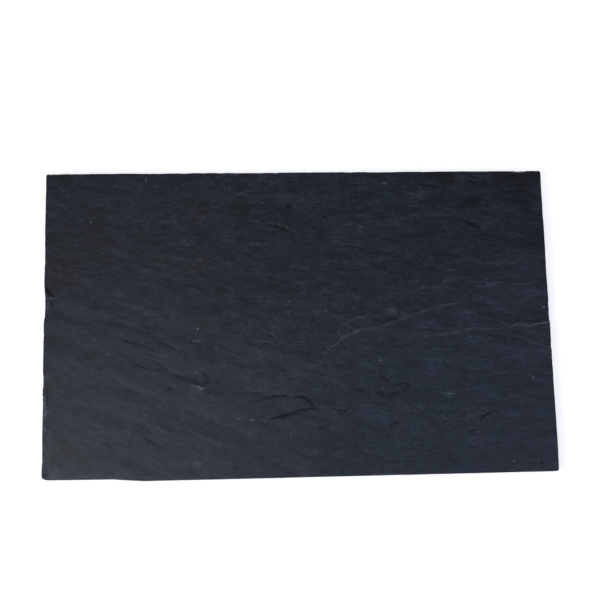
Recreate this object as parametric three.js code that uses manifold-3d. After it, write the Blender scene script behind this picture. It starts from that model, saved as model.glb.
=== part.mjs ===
// Slate coping stone: one sawn slab of slate whose top is a riven, naturally split face.
// Millimetres, +Z up. The origin is the middle of the flat underside, +X runs along the
// stone's length to its right end and +Y across its depth to its back edge.
import * as THREE from "three";
import { mergeVertices } from "three/addons/utils/BufferGeometryUtils.js";
import Module from "manifold-3d";

const wasm = await Module();
wasm.setup();

// Driving dimensions
const LENGTH = 500;
const DEPTH = 304;
const THICKNESS = 25;
const HALF_LENGTH = LENGTH / 2;
const HALF_DEPTH = DEPTH / 2;

// Plan outline: sawn edges with broken corners. Where slivers have split off the front and left
// edges, each point gives its place along the edge and how far the edge is set back there.
const CORNER_BREAK = 2;
const WORN_CORNER_BREAK = 4;
const FRONT_SET_BACK = [[-246, 3.4], [-184, 2.8], [-168, 1.6], [-154, 0.8], [-96, 0.7], [-86, 0]];
const LEFT_SET_BACK = [[38, 0], [27, 1.3], [8, 1.1], [2, 0]];

// Riven face: broad swells across the slab, with low ribs that follow the grain of the slate
const GRAIN_FALL = -0.165;
const GRAIN_CURVE = 0.00057;
const SWELL_HEIGHT = 0.7;
const SWELL_LENGTH = 410;
const SWELL_DEPTH = 520;
const SWELL_SHIFT = 40;
const RIB_HEIGHT = 0.28;
const RIB_SPACING = 41;
const RIB_WANDER = 8;
const RIB_WANDER_LENGTH = 360;
const FACE_CELL = 10;

// Thin laminae that stand proud of the riven face. Each has a broken ledge, drawn as a line
// from its left end to its right end, and dips back into the face over its run.
const LAMINA_SINK = 0.35;
const LEDGE_CELL = 10;
const DIP_CELLS = 4;
const LAMINAE = [
  {
    ledge: [[20, -38], [27, -27], [43, -17], [66, -8.5], [94, -1], [122, 8], [152, 16], [184, 23]],
    step: 1.5,
    run: [16, -62],
  },
  { ledge: [[34, -15], [40, -5], [50, 1], [72, 5], [96, 3]], step: 1.1, run: [6, -26] },
  {
    ledge: [[98, -32], [113, -22.5], [138, -14.5], [168, -9], [198, -10], [222, -6.5], [264, -1]],
    step: 1.4,
    run: [8, -58],
  },
  { ledge: [[202, -11], [220, -15.5], [240, -26], [262, -36]], step: 1.1, run: [-8, -34] },
  {
    ledge: [[72, 91], [92, 98], [116, 106.5], [140, 114], [163, 121], [184, 130]],
    step: 1.3,
    run: [14, -46],
  },
  { ledge: [[174, 20], [182, 28], [196, 35], [216, 35]], step: 1, run: [10, -26] },
  { ledge: [[-74, 110], [-68, 123], [-56, 132], [-34, 136]], step: 1.1, run: [12, -34] },
  { ledge: [[-46, -57], [-20, -50], [4, -42.5], [30, -36]], step: 1, run: [8, -30] },
  { ledge: [[224, 60], [238, 63], [264, 62]], step: 1, run: [2, -30] },
  { ledge: [[-142, -46], [-120, -57], [-104, -63], [-88, -66]], step: 1.2, run: [-14, -34] },
];

// Open cracks where a flake has begun to lift, and furrows where one has gone
const CRACK_CELL = 7;
const CRACKS = [
  { line: [[-47, -80], [-32, -75], [-12, -73.5], [4, -77], [14, -85]], width: 1.8, depth: 1 },
  { line: [[16, -86], [0, -87], [-16, -91], [-34, -95], [-58, -94]], width: 2.2, depth: 1.2 },
  { line: [[70, -73], [88, -74], [99, -71], [105, -65], [92, -64], [80, -66]], width: 1.5, depth: 0.9 },
  { line: [[30, -87], [40, -88], [46, -83], [48, -78]], width: 1.4, depth: 0.8 },
  { line: [[-50, 100], [-30, 98], [-10, 91]], width: 1.6, depth: 0.9 },
  { line: [[-30, 109], [-14, 116], [-6, 120]], width: 1.6, depth: 0.9 },
  { line: [[182, 82], [193, 88], [204, 92], [214, 99]], width: 1.6, depth: 0.9 },
  { line: [[144, 104], [161, 100.5], [171, 97], [186, 89]], width: 4.4, depth: 0.9 },
  { line: [[-184, -16], [-160, -22], [-136, -30]], width: 3.2, depth: 0.8 },
  { line: [[176, -98], [182, -96], [190, -92]], width: 1.6, depth: 0.8 },
];

// Scoops knocked out of the riven face: chips along its arris, with their centres just off the
// plan outline, a flaked hollow and a few pits
const SCOOP_SEGMENTS = 12;
const SCOOP_RINGS = 8;
const CHIP_LINE_X = -HALF_LENGTH - 0.4;
const CHIP_LINE_Y = HALF_DEPTH + 0.4;
const SCOOPS = [
  { at: [CHIP_LINE_X, 24], radii: [7, 14, 5] },
  { at: [CHIP_LINE_X, 63], radii: [3, 5, 3] },
  { at: [CHIP_LINE_X, -58], radii: [3.4, 7, 3] },
  { at: [CHIP_LINE_X, -92], radii: [4.4, 11, 4] },
  { at: [CHIP_LINE_X, -124], radii: [4.4, 9, 3.5] },
  { at: [-95, -CHIP_LINE_Y], radii: [9, 3, 3] },
  { at: [228, CHIP_LINE_Y], radii: [8, 3, 3] },
  { at: [-101, -55], radii: [10, 6.5, 1.6] },
  { at: [28, 105], radii: [1.9, 1.7, 1.4] },
  { at: [55, 128], radii: [3.4, 2, 1.5] },
  { at: [157, 139], radii: [1.9, 1.7, 1.4] },
  { at: [233, -143], radii: [1.9, 1.7, 1.4] },
  { at: [166, -110], radii: [1.7, 1.5, 1.3] },
];

const SLATE_COLOUR = 0x2a2e36;
const SLATE_ROUGHNESS = 0.62;

// A wave of height 1 and the given length.
function wave(distance, length) {
  return Math.sin((2 * Math.PI * distance) / length);
}

// Distance across the grain: the slate's lineation runs where this stays the same.
function acrossGrain(x, y) {
  return y - GRAIN_FALL * x - GRAIN_CURVE * x * x;
}

// Height of the riven face above the underside, before its laminae.
function faceHeight(x, y) {
  const swell = wave(x + SWELL_SHIFT, SWELL_LENGTH) * wave(y + SWELL_DEPTH / 4, SWELL_DEPTH);
  const wander = RIB_WANDER * wave(x, RIB_WANDER_LENGTH);
  const rib = wave(acrossGrain(x, y) + wander, RIB_SPACING);
  return THICKNESS + SWELL_HEIGHT * swell + RIB_HEIGHT * rib;
}

// A closed geometry as a solid that can be joined and cut.
function solidOf(geometry) {
  const bare = geometry.clone();
  bare.deleteAttribute("normal");
  bare.deleteAttribute("uv");
  const merged = mergeVertices(bare);
  return new wasm.Manifold(
    new wasm.Mesh({
      numProp: 3,
      vertProperties: new Float32Array(merged.attributes.position.array),
      triVerts: new Uint32Array(merged.index.array),
    }),
  );
}

// A joined and cut solid as a flat-shaded geometry.
function geometryOf(solid) {
  const mesh = solid.getMesh();
  const geometry = new THREE.BufferGeometry();
  geometry.setAttribute("position", new THREE.BufferAttribute(mesh.vertProperties, mesh.numProp));
  geometry.setIndex(new THREE.BufferAttribute(mesh.triVerts, 1));
  const faceted = geometry.toNonIndexed();
  faceted.computeVertexNormals();
  return faceted;
}

// A closed block over a grid of cells: place(u, v) gives the plan point of u and v from 0 to 1,
// and top and bottom give the heights there.
function gridBlock(columns, rows, place, top, bottom) {
  const geometry = new THREE.BoxGeometry(1, 1, 1, columns, rows, 1);
  const position = geometry.attributes.position;
  for (let i = 0; i < position.count; i += 1) {
    const u = position.getX(i) + 0.5;
    const v = position.getY(i) + 0.5;
    const height = position.getZ(i) > 0 ? top : bottom;
    const { x, y } = place(u, v);
    position.setXYZ(i, x, y, height(x, y, u, v));
  }
  return solidOf(geometry);
}

// A smooth plan curve through hand-set points.
function planCurve(points) {
  return new THREE.SplineCurve(points.map(([x, y]) => new THREE.Vector2(x, y)));
}

// The slab's outline seen from above, counter-clockwise from the front edge's left end.
function outline() {
  const shape = new THREE.Shape();
  const right = HALF_LENGTH;
  const left = -HALF_LENGTH;
  const back = HALF_DEPTH;
  const [wornStart, wornDepth] = FRONT_SET_BACK[0];
  const wornFront = -HALF_DEPTH + wornDepth;
  shape.moveTo(wornStart, wornFront);
  FRONT_SET_BACK.slice(1).forEach(([x, setBack]) => shape.lineTo(x, -HALF_DEPTH + setBack));
  shape.lineTo(right - CORNER_BREAK / 2, -HALF_DEPTH);
  shape.lineTo(right, -HALF_DEPTH + CORNER_BREAK / 2);
  shape.lineTo(right, back - CORNER_BREAK);
  shape.quadraticCurveTo(right, back, right - CORNER_BREAK, back);
  shape.lineTo(left + CORNER_BREAK, back);
  shape.quadraticCurveTo(left, back, left, back - CORNER_BREAK);
  LEFT_SET_BACK.forEach(([y, setBack]) => shape.lineTo(left + setBack, y));
  shape.lineTo(left, wornFront + WORN_CORNER_BREAK);
  shape.quadraticCurveTo(left, wornFront, wornStart, wornFront);
  return shape;
}

// The sawn prism of the plan outline, taller than the slab.
function sawnPrism() {
  const prism = new THREE.ExtrudeGeometry(outline(), {
    depth: 2 * THICKNESS,
    bevelEnabled: false,
    curveSegments: 3,
  });
  return solidOf(prism);
}

// The block under the riven face, wider than the slab and reaching below its underside.
function rivenBlock() {
  const margin = FACE_CELL;
  const width = LENGTH + 2 * margin;
  const depth = DEPTH + 2 * margin;
  const place = (u, v) => ({ x: (u - 0.5) * width, y: (v - 0.5) * depth });
  const columns = Math.round(width / FACE_CELL);
  const rows = Math.round(depth / FACE_CELL);
  return gridBlock(columns, rows, place, faceHeight, () => -THICKNESS);
}

// One lamina: its ledge stands a step above the face, and fades at both ends and down its dip.
function lamina({ ledge, step, run }) {
  const curve = planCurve(ledge);
  const columns = Math.max(4, Math.round(curve.getLength() / LEDGE_CELL));
  const place = (u, v) => {
    const point = curve.getPointAt(u);
    return { x: point.x + run[0] * (1 - v), y: point.y + run[1] * (1 - v) };
  };
  const top = (x, y, u, v) => {
    const fade = Math.sqrt(Math.sin(Math.PI * u)) * v;
    return faceHeight(x, y) + (step + LAMINA_SINK) * fade - LAMINA_SINK;
  };
  return gridBlock(columns, DIP_CELLS, place, top, () => THICKNESS / 2);
}

// One crack: a furrow with a sharp bottom that runs out at both ends.
function crack({ line, width, depth }) {
  const curve = planCurve(line);
  const columns = Math.max(3, Math.round(curve.getLength() / CRACK_CELL));
  const place = (u, v) => {
    const point = curve.getPointAt(u);
    const tangent = curve.getTangentAt(u);
    const side = (v - 0.5) * width;
    return { x: point.x - tangent.y * side, y: point.y + tangent.x * side };
  };
  const lip = depth / 2;
  const bottom = (x, y, u, v) => {
    const centre = 1 - Math.abs(2 * v - 1);
    return faceHeight(x, y) + lip - (depth + lip) * centre * Math.sin(Math.PI * u);
  };
  const top = (x, y) => faceHeight(x, y) + 2 * depth;
  return gridBlock(columns, 2, place, top, bottom);
}

// One scoop: the shell-shaped hollow that a chip or a flake leaves.
function scoop({ at, radii }) {
  const [x, y] = at;
  const hollow = new THREE.SphereGeometry(1, SCOOP_SEGMENTS, SCOOP_RINGS);
  hollow.scale(...radii);
  hollow.translate(x, y, faceHeight(x, y));
  return solidOf(hollow);
}

// The whole stone: a riven block with its laminae, sawn to its outline, then chipped and cracked.
function copingStone() {
  const rough = LAMINAE.map(lamina).reduce((slab, sheet) => slab.add(sheet), rivenBlock());
  const sawn = rough.intersect(sawnPrism());
  const flaws = [...CRACKS.map(crack), ...SCOOPS.map(scoop)];
  const worn = flaws.reduce((slab, flaw) => slab.subtract(flaw), sawn);
  const slate = new THREE.MeshStandardMaterial({
    color: SLATE_COLOUR,
    roughness: SLATE_ROUGHNESS,
    metalness: 0,
  });
  const mesh = new THREE.Mesh(geometryOf(worn), slate);
  mesh.name = "coping_stone";
  return mesh;
}

const part = new THREE.Group();
part.name = "slate_coping_stone";
part.add(copingStone());

export default part;
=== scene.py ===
"""Slate coping stone: a sawn slab with a riven top face, its slate, and a plain studio."""

import math

import bpy
from bpy.props import FloatProperty, FloatVectorProperty, PointerProperty
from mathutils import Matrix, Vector, kdtree


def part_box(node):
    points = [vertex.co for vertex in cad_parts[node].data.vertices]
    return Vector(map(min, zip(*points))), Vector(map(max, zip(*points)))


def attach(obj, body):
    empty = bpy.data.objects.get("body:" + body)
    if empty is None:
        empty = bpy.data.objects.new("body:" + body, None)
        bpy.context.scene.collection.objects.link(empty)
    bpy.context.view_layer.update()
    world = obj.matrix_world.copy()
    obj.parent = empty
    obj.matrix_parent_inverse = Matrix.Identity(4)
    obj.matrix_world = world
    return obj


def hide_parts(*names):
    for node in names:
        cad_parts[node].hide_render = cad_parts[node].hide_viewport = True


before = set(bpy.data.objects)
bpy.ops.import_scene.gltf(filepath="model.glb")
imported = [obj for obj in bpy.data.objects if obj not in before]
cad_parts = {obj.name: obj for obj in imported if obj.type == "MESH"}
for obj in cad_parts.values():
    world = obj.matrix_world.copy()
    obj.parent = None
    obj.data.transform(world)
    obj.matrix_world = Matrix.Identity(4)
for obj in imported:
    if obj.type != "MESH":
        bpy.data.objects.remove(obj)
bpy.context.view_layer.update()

bl_info = {
    "name": "Slate Coping Stone",
    "version": (1, 0, 0),
    "blender": (4, 5, 0),
    "location": "3D View > Sidebar > Coping Stone",
    "description": "Builds a riven slate coping stone and a studio to see it in",
    "category": "Add Mesh",
}

NODE = "coping_stone"
LOW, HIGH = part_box(NODE)
MM = 0.001
TRIANGLE_LIMIT = 200000
SMOOTH_ANGLE = 40

# Plan outline: where slivers have split off the front and left edges, each point gives its place
# along the edge and how far the edge is set back there, in millimetres.
FRONT_SET_BACK = (
    (-250, 4.9), (-246, 3.1), (-184, 2.5), (-168, 1.1), (-156, 0.2), (-96, 0.1), (-86, 0), (250, 0),
)
LEFT_SET_BACK = ((-152, 0), (2, 0), (8, 0.8), (27, 0.9), (38, 0), (152, 0))
SET_BACK_LIMIT = 6
SET_BACK_REACH = 30
CORNER_RADIUS = 2

# The front of the left arris is bruised: how wide, how wide the step at its inner side and how
# deep, and where along the arris the bruising starts and is full, in millimetres
BRUISE_WIDTH = 4.6
BRUISE_STEP = 1.6
BRUISE_DEPTH = 1.2
BRUISE_START = -44
BRUISE_FULL = -60

# All arrises are chipped: how far in, and how deep where they are least and most chipped
ARRIS_WIDTH = 2.6
ARRIS_CHIPS = (0.15, 1.3)
FOOT_WIDTH = 2.0
FOOT_SHARE = 0.7
LAYER_INSET = 0.7

# Grain of the riven face: how it falls, curves, twists, fans out and flares along the length, and
# how the pattern along it is drawn out and then closes up, over millimetres
GRAIN_FALL = -0.165
GRAIN_CURVE = 0.00044
GRAIN_TWIST = 1.2e-6
GRAIN_FAN = -0.0011
GRAIN_FLARE = 3.9e-6
GRAIN_PACE = 1.14
GRAIN_SLOWING = 0.0011

# Broad swells, low ribs along the grain, terraces of split layers and grit, in millimetres
SWELL_LENGTH = 410
SWELL_DEPTH = 520
SWELL_SHIFT = 40
RIB_SPACING = 41
RIB_WANDER = 8
RIB_WANDER_LENGTH = 360
RIB_DRIFT = 12
TERRACES = 14
TERRACE_RISER = 0.86
GRIT_HEIGHT = 0.3

# How far noise bends the edges of laminae and hollows, in millimetres
JAG = 2.4

# Thin laminae that stand proud of the riven face. Each row has the height of its step, the run over
# which it dips back into the face, the paleness of its fresh edge, with a painted highlight along the
# riser, at both ends, and its broken ledge, drawn from its left end to its right end.
LAMINAE = (
    (1.4, (16, -62), (0.95, 0.13), ((21, -31), (25, -28.2), (29, -26.2), (35, -23.4), (40.5, -18),
     (45.2, -15), (53, -12.2), (62, -8.7), (75, -8), (82, -6), (98, 0), (115, 5.5), (131, 10.5),
     (146, 14), (158, 16), (166, 24), (184, 25))),
    (0.8, (6, -26), (0.36, 0.4), ((36, -12), (38, -8), (46, -1.4), (59, 3), (74, 4.4), (94, 2))),
    (0.6, (3, -6), (0.45, 0.3), ((83, 6), (88, 9.5), (95, 11), (101, 9))),
    (1, (8, -58), (0.85, 0.55), ((96, -33), (104, -24), (113, -21), (119, -17.5), (129, -16), (148, -14),
     (166, -10), (190, -10.5), (208, -9))),
    (0.9, (6, -46), (0.6, 0.95), ((200, -13), (207, -10.5), (213, -7.5), (219, -6), (229, -8), (243, -5),
     (276, 1))),
    (0.7, (-8, -34), (0.3, 0.85), ((202, -11), (211, -14), (219, -17), (229, -22.5), (241, -27),
     (268, -36))),
    (0.5, (10, -40), (0.14, 0.14), ((70, 92.5), (80, 95.6), (89, 98.4), (98.4, 100.2), (104.5, 102.4),
     (113.5, 104.2), (121, 108.4), (127, 110))),
    (0.45, (14, -40), (0.12, 0.16), ((133, 111.4), (138.6, 113), (151, 116.4), (162.7, 119.3),
     (172, 122.4))),
    (0.8, (10, -26), (0.36, 0.3), ((176, 20), (181, 26), (189, 34), (203, 35.5), (216, 34), (232, 35.5),
     (256, 39))),
    (0.5, (12, -34), (0.16, 0.16), ((-72, 112), (-67, 123), (-60, 129), (-52, 132), (-34, 136))),
    (0.4, (8, -30), (0.14, 0.34), ((-46, -57), (-28, -53), (-12, -47.5), (8, -42), (17, -40.8),
     (22, -37.4), (25.4, -32))),
    (0.6, (2, -30), (0.2, 0.26), ((196, 60), (214, 62), (233, 64), (248, 62), (264, 62))),
    (0.9, (-6, -16), (0.7, 0.9), ((-110, -60), (-103, -62.5), (-97, -64.6), (-88, -63))),
    (0.6, (4, -18), (0.26, 0.16), ((34, 88), (47, 96.5), (53, 97.5), (60, 95), (78, 92))),
    (0.5, (6, -16), (0.24, 0.24), ((18, 29), (22, 31), (30, 34), (42, 40))),
    (0.5, (2, -18), (0.2, 0.2), ((138, 84), (145, 85.5), (151, 86), (158, 83.5), (166, 78))),
    (0.5, (3, -14), (0.22, 0.22), ((-6, 119), (-2, 121), (8, 123), (16, 124))),
    (0.6, (2, -14), (0.45, 0.55), ((152, -99), (163, -96), (172, -94), (186, -92))),
    (0.3, (-4, -16), (0.2, 0.12), ((-86, -23), (-72, -28), (-60, -33), (-50, -37))),
    (0.4, (3, -14), (0.2, 0.2), ((76, 60), (84, 62.5), (90, 63), (99, 68))),
    (0.3, (1, -10), (0.22, 0.22), ((-78, -43), (-73, -40.5), (-64, -42.5))),
)
LEDGE_CELL = 4
DIP_CELLS = 5
RISER_WIDTH = 0.9
# How pale the ledge is across its riser and just before it: its fresh edge, and a painted highlight where
# the riser meets the light
FRESH_EDGE_AND_HIGHLIGHT_BAND = ((-RISER_WIDTH, 0.6), (0.0, 1.0), (0.8, 0.6), (2.2, 0.0))
LAMINA_SINK = 0.2

# Open cracks where a flake has begun to lift, painted dark with shade out to their rims: width, depth and
# line
CRACKS = (
    (1.6, 0.5, ((-46.3, -78), (-37.6, -76.5), (-27.8, -74), (-20.2, -73), (-12.7, -73.7), (-5.7, -74.6))),
    (2.6, 0.7, ((-10.5, -74.2), (-6.8, -74.7), (-2.9, -73.9), (3.5, -76.6), (6.7, -79.3), (10.9, -83.5),
     (12.8, -87.4))),
    (1.8, 0.6, ((20, -86), (8, -86.5), (-4, -88.5), (-14, -91.5), (-24, -94), (-36, -95.5))),
    (3, 0.9, ((-27, -94.4), (-18, -92.2), (-9, -89.6))),
    (2.4, 0.6, ((75.5, -55.2), (80, -56.8), (83, -58.8), (87.5, -62.6))),
    (1.5, 0.5, ((86, -63.4), (92, -64.2), (97.4, -63.8), (104, -63.6), (105, -66), (101.5, -69),
     (96.5, -71))),
    (1.6, 0.5, ((97, -70.8), (92.5, -72.2), (84, -73.8))),
    (3.4, 0.8, ((70.5, -72), (75.5, -71.2), (78, -72), (82, -73.6))),
    (2.6, 0.5, ((51.5, -67.6), (56, -68.4), (63, -70))),
    (1.5, 0.5, ((26, -87), (36, -88.5), (43, -88), (47, -83), (47.5, -78))),
    (1.4, 0.5, ((80, -103.3), (96, -101.8))),
    (1.8, 0.45, ((-53, 101.5), (-46, 100), (-38, 97.5))),
    (3.8, 1.4, ((-33, 98.6), (-23, 95.8), (-14, 93.6), (-4, 89))),
    (1.2, 0.3, ((-7, 91), (-4.2, 86), (-4.6, 79))),
    (2.2, 0.6, ((-38, 107), (-28, 110), (-18, 113), (-11, 115.5), (-2, 121))),
    (2.2, 0.6, ((68, 103.6), (77, 104), (89, 104.8), (98, 104.6))),
    (3.6, 1.2, ((101, 105.4), (108, 107.8), (115, 110.4), (122, 112.2), (129, 114.4))),
    (2.4, 1.2, ((154, 105), (166, 101.5), (177, 97), (187, 92), (195, 87))),
    (6.4, 2, ((167, 101), (177, 96.6), (187, 91))),
    (2.1, 0.9, ((179, 77), (184, 85), (194, 87.5), (203, 92), (211, 96), (224, 103))),
    (2.2, 0.6, ((120, -9.8), (130, -11), (140, -12), (153, -12.6))),
    (2.8, 0.7, ((173, -100), (180, -96.2), (189, -91))),
    (1.7, 0.4, ((41, 74.7), (57, 74.7))),
    (4.6, 2.2, ((-257, 43), (-250, 36.8), (-246, 33), (-241, 27.5))),
)
# How dark the painted shade is along a crack's bed and at its rims
CRACK_PAINTED_SHADE = 1.0
CRACK_RIM_PAINTED_SHADE = 0.6
CRACK_CELL = 2
CRACK_END_WIDTH = 0.4

# Furrows where a sliver of slate has gone, shallow and soft: width, depth, how dark the painted shade
# is in the bed and at the rim, and line
FURROWS = (
    (2.6, 0.3, 0.6, 0.15, ((58, 97.5), (68, 96.5), (80, 95))),
    (6.4, 0.4, 0.7, 0.5, ((138, 106.5), (153, 104), (164, 101.5), (174, 98), (186, 91.5))),
    (2.2, 0.3, 0.45, 0.15, ((206, -17), (219, -22), (233, -28.5), (246, -33))),
    (5, 0.2, 0.42, 0.3, ((-180, -12), (-171, -15.7), (-158, -19.5), (-140, -27))),
    (3.2, 0.2, 0.42, 0.3, ((-137, -18), (-126, -23.5), (-115, -33))),
    (2.4, 0.15, 0.3, 0.15, ((-186, -30), (-176, -36), (-168, -41))),
    (2.4, 0.15, 0.28, 0.15, ((-163, -38), (-152, -43), (-142, -49))),
    (2.4, 0.15, 0.35, 0.15, ((-150, -34), (-140, -39), (-131, -45))),
    (5.6, 0.25, 0.42, 0.15, ((-122, -49), (-113, -53.4), (-103, -57.8), (-93, -61))),
    (5, 0.5, 0.7, 0.4, ((-97, -47), (-92, -53), (-92.5, -58), (-97, -63))),
    (2.4, 0.2, 0.5, 0.15, ((-149, 8), (-148, 1))),
    (3.4, 0.2, 0.45, 0.15, ((71, 59), (82, 53), (95, 46))),
    (1.8, 0.3, 0.7, 0.15, ((-111, 70), (-101, 66.5))),
    (4.8, 0.15, 0.34, 0.3, ((-162, -95), (-154, -101), (-145, -107))),
    (4.2, 0.15, 0.3, 0.3, ((-153, -111), (-146, -115), (-138, -120))),
    (4, 0.15, 0.3, 0.3, ((-138, -99.5), (-132, -102), (-124, -106))),
    (4.6, 0.15, 0.32, 0.3, ((-195, -112), (-186, -118), (-177, -124.5))),
    (1.3, 0.4, 0.7, 0.3, ((-246, -66), (-245.2, -75), (-246, -84))),
)

# Ledges and cracks are uneven along their length: two rates of change, the mean and the swing
LEDGE_BREAKS = (2.4, 0.9, 0.64, 0.36)
CRACK_BREAKS = (2.1, 0.8, 0.75, 0.35)

# Scoops knocked out of the riven face: chips along its arris, flaked hollows and pits. Each row has the
# centre in plan, the radii, and the tone from -1, pale and fresh, to 1, dark with painted shade.
SCOOPS = (
    ((-250.4, 20), (5, 15, 1.8), -0.45), ((-241.5, 22), (2.8, 3.4, 0.4), 0.5),
    ((-250.4, 63), (3, 5, 2.2), 0.6), ((-250.4, -54), (3, 8, 1.6), -0.6),
    ((-249.2, -86), (3.6, 10, 1.6), -1), ((-250.4, -122), (4.4, 14, 1.8), -0.7),
    ((-95, -152.4), (7, 2.4, 2), -0.3), ((-206, -152.4), (9, 3.6, 1.6), -0.5),
    ((228, 152.4), (7, 2, 2), 0.1), ((-127.5, -64), (3.2, 2.4, 0.35), 0.5),
    ((28, 105), (1.9, 1.7, 1.2), 1), ((55, 128.4), (2.8, 1.5, 1), 1), ((60.5, 130.2), (2.6, 1.3, 0.9), 1),
    ((157, 139), (2.1, 1.5, 0.9), 0.7), ((233, -143), (3, 1.7, 0.8), 0.7),
    ((166, -110), (2, 1.6, 0.6), 0.7), ((-8.5, 117), (2.6, 2.4, 1.4), 1),
    ((172.5, 79), (3.4, 4.6, 0.3), 0.4),
)
SCOOP_SIDES = 24
SCOOP_RINGS = 16

# Marks on the riven face. Each row has the centre in plan and the half sizes, in millimetres, and the
# strength. First pale mineral spots and scratches, some of them a painted highlight on the lip of a
# flaked hollow, then dusty blooms.
PALE_SPOTS = (
    (227, -57.5, 1.7, 1.1, 0.26), (229.5, -59.5, 1.8, 1.5, 0.42), (245, 11, 1.2, 1, 1),
    (205.5, -141.5, 1, 1.4, 0.9), (-205, 102, 0.9, 1, 0.9), (-233, 134, 0.9, 0.8, 0.5),
    (-10.5, 20, 1.1, 0.9, 0.9), (25, 10, 1, 1, 0.9), (69, -77, 0.9, 0.8, 0.7), (78, -40, 1.1, 1.1, 0.8),
    (79, -18.4, 1.1, 1, 0.4), (-12, -112, 0.9, 0.9, 0.7), (-17.5, -134, 0.8, 0.8, 0.7),
    (-103, -49, 1.1, 1, 0.8), (-101, -6, 1.2, 1, 0.7), (-193, -61, 0.9, 0.8, 0.5),
    (-152, -90, 0.8, 0.7, 0.5), (-157, -107.5, 0.8, 0.7, 0.5), (-170, -117, 0.9, 0.8, 0.5),
    (89, 140.2, 4.4, 0.8, 0.6), (99.5, 139.2, 3.6, 0.5, 0.35), (124.2, 135, 1.2, 0.9, 0.5),
    (117.7, 38, 0.9, 0.9, 0.6), (188, 40, 1, 0.9, 0.6), (114, 101, 0.8, 0.8, 0.5),
    # The spots along the lip of the flaked hollow, from about (-106, -62) to (-97, -65), are fresh pale
    # slate painted brighter as a highlight on its lit lip
    (143.5, -74, 7.5, 0.5, 0.6), (-151, 145.5, 0.5, 3.2, 0.8), (-105.8, -61.6, 1.8, 0.7, 0.8),
    (-103.4, -62.8, 1.5, 0.6, 0.8), (-100.4, -62.9, 2.4, 1, 1), (-97.4, -64.6, 2.4, 1, 1),
    (-37, -97, 2.2, 0.8, 0.7), (-49, -96, 2.8, 0.8, 0.7), (-63, -94.6, 2.2, 0.7, 0.6),
    (-101, -18, 5, 1.2, 0.4), (88.5, 11, 2.2, 0.9, 0.3), (92, 9, 2.8, 1.1, 0.32),
    (94, 12.3, 1.5, 0.7, 0.25), (172, -112.5, 1.1, 0.9, 0.7), (165, -108, 3, 0.8, 0.32),
    (-244.5, 26.2, 3.4, 1.6, 0.3), (-239, 18, 0.9, 3.5, 0.2), (-246, 19, 1.6, 6, 0.3),
    (-247.2, -86.5, 1.4, 5.2, 0.6), (-247.9, -77, 0.9, 3.5, 0.35),
)
BLOOMS = (
    (123, 127, 9, 4, 0.26), (112, 70, 9, 4, 0.19), (150, 40, 9, 4, 0.16), (108, -88, 16, 4, 0.22),
    (165, -41, 10, 5, 0.16), (197, -56, 7, 3, 0.22), (48, 100, 9, 2.5, 0.22), (-238, -144, 12, 7, 0.5),
    (-208, -147, 18, 4, 0.46), (-180, -149, 10, 2, 0.35), (-102, -136, 7, 3, 0.26),
    (-247.4, -86, 2.8, 9, 1), (-246, -118, 4, 26, 0.45), (88, 9, 7, 4, 0.22), (-20, 140, 12, 4, 0.13),
    (225, 20, 14, 6, 0.11),
)

# Warm grey stains, dark brown stains and specks of rust
WARM_STAINS = (
    (-236, 50, 30, 22, 0.9), (-240, -54, 14, 20, 0.8), (-222, -22, 32, 30, 0.5),
    (-234, -127, 30, 22, 0.8), (-190, -138, 22, 18, 0.6), (-100, 112, 20, 13, 0.5),
    (-112, 62, 36, 18, 0.5), (-101, -135, 12, 14, 0.5), (-190, 96, 66, 44, 0.35), (8, 24, 50, 26, 0.45),
    (35, -18, 10, 7, 0.5), (-94, -3, 14, 9, 0.6),
)
DARK_STAINS = (
    (228, 146, 28, 12, 0.9), (174, 121, 12.5, 8.5, 0.95), (146, 147, 22, 7, 0.9), (-58, 117, 15, 9, 0.8),
    (238, 92, 16, 26, 0.5), (-101, 112, 12, 8, 0.4), (-228, 146, 16, 5, 0.4), (37, 108, 10, 6, 0.3),
    (60, 99, 10, 6, 0.4), (-238, 46, 14, 12, 0.35), (-246, -62, 6, 8, 0.5),
)
RUST_SPECKS = (
    (-240.5, -121, 2.4, 1.1, 0.8), (139, 13, 8, 1.3, 0.45), (-36, -97.6, 3, 0.7, 0.5),
)

# Broad patches of deeper and of lighter slate, and where it leans to plum and to teal
DEEP_ZONES = (
    (-215, 79, 40, 28, 0.2), (0, 79, 270, 24, 0.1), (-60, 36, 70, 26, 0.16), (-96, -12, 30, 20, 0.14),
    (-155, -118, 40, 34, 0.15), (22, -128, 36, 20, 0.22), (203, 128, 40, 22, 0.13),
    (-37, -128, 30, 18, 0.07),
)
LIGHT_ZONES = (
    (203, 32, 44, 26, 0.13), (141, -14, 38, 24, 0.14), (-8, -54, 64, 24, 0.17), (-37, -12, 30, 20, 0.13),
    (10, 128, 52, 20, 0.11), (141, -54, 34, 20, 0.1),
)
PLUM_ZONES = (
    (-150, 70, 130, 90, 0.22), (0, 30, 80, 50, 0.22), (220, 110, 50, 60, 0.22),
)
TEAL_ZONES = (
    (130, -95, 150, 90, 0.22),
)

# Rows of the sawn sides, as shares of the thickness from the top: laminae of uneven thickness
SIDE_ROWS = (0.03, 0.10, 0.19, 0.27, 0.38, 0.46, 0.55, 0.66, 0.74, 0.85, 0.94, 1.0)
UNDERSIDE_CELL = 6
UNDERSIDE_MARGIN = 6
FEATURE_REACH = 1.6
FEATURE_CUTS = 3

# How steeply a face points up to be riven, and down to be bedding
RIVEN_TILT = 0.35
BEDDING_TILT = -0.6
BUMP_DISTANCE = 0.0005

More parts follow.
